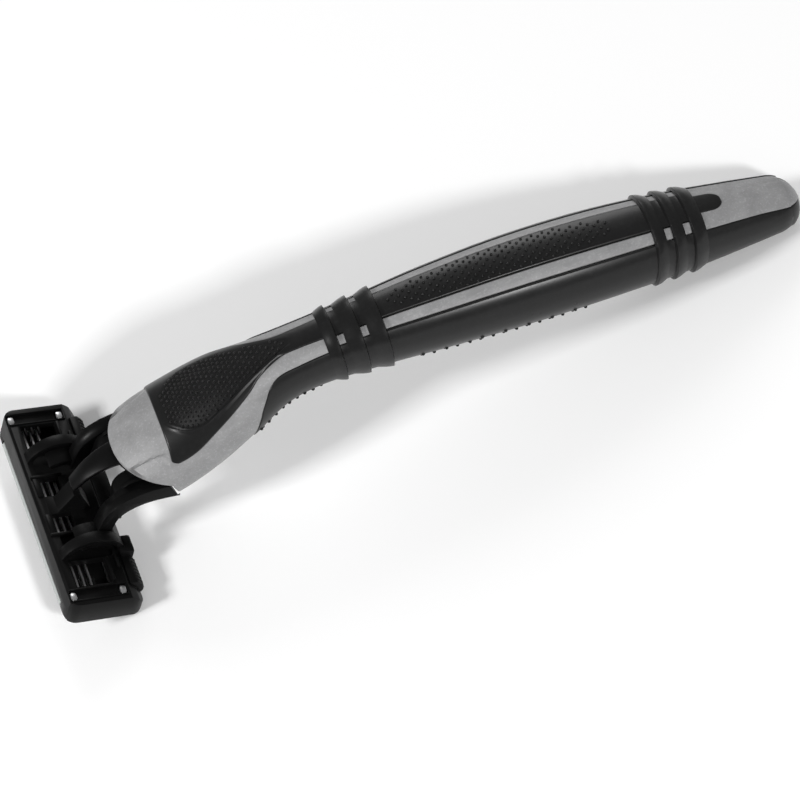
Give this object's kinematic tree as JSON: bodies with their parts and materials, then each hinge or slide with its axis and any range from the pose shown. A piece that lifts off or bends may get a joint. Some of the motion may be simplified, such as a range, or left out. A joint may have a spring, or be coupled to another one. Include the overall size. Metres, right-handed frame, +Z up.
{
  "type": "cartridge razor",
  "caption": "Wet shaving razor: grey handle clad in ribbed black rubber, forked neck, sprung pivoting cartridge with floating blades held by aluminium clips.",
  "frame": {"origin": "on the table under the middle of the razor's bounding box, with the razor lying on its guard edge and its tail", "axes": "+X from the head to the tail, +Y along the blades towards the far end of the head, +Z up from the table"},
  "size_m": [0.142, 0.0422, 0.0256],
  "materials": {
    "grey_plastic": "satin moulded grey plastic",
    "grip_rubber": "soft matt black rubber with a faint sheen",
    "black_plastic": "satin black plastic",
    "fin_rubber": "matt black rubber fins",
    "soap_strip": "pale waxy strip",
    "blade_steel": "ground stainless steel",
    "clip_aluminium": "bright rolled aluminium"
  },
  "bodies": {
    "handle": {"handle_core": "grey_plastic", "thumb_pad": "grip_rubber", "finger_pad": "grip_rubber", "front_ring_sleeve": "grip_rubber", "grip_pad_top": "grip_rubber", "grip_pad_lower": "grip_rubber", "rear_ring_sleeve": "grip_rubber", "tail_tongue": "grip_rubber", "tail_pad": "grip_rubber", "yoke": "black_plastic", "return_leaf": "black_plastic"},
    "cartridge": {"cartridge_frame": "black_plastic", "guard_strip": "fin_rubber", "lubricating_strip": "soap_strip", "clip_near": "clip_aluminium", "clip_far": "clip_aluminium"},
    "blade_one": {"blade_support_1": "blade_steel", "blade_1": "blade_steel"},
    "blade_two": {"blade_support_2": "blade_steel", "blade_2": "blade_steel"},
    "blade_three": {"blade_support_3": "blade_steel", "blade_3": "blade_steel"}
  },
  "joints": [
    {"name": "cartridge_pivot", "type": "hinge", "parent": "handle", "child": "cartridge", "pos_m": [-0.06332, 0, 0.00551], "axis": [0, 1, 0], "range_deg": [-20, 20], "stiffness_Nm_per_rad": 0.02},
    {"name": "blade_one_float", "type": "slide", "parent": "cartridge", "child": "blade_one", "axis": [0.4695, 0, 0.8829], "range_m": [0, 0.0004], "stiffness_N_per_m": 400},
    {"name": "blade_two_float", "type": "slide", "parent": "cartridge", "child": "blade_two", "axis": [0.4695, 0, 0.8829], "range_m": [0, 0.0004], "stiffness_N_per_m": 400},
    {"name": "blade_three_float", "type": "slide", "parent": "cartridge", "child": "blade_three", "axis": [0.4695, 0, 0.8829], "range_m": [0, 0.0004], "stiffness_N_per_m": 400}
  ]
}
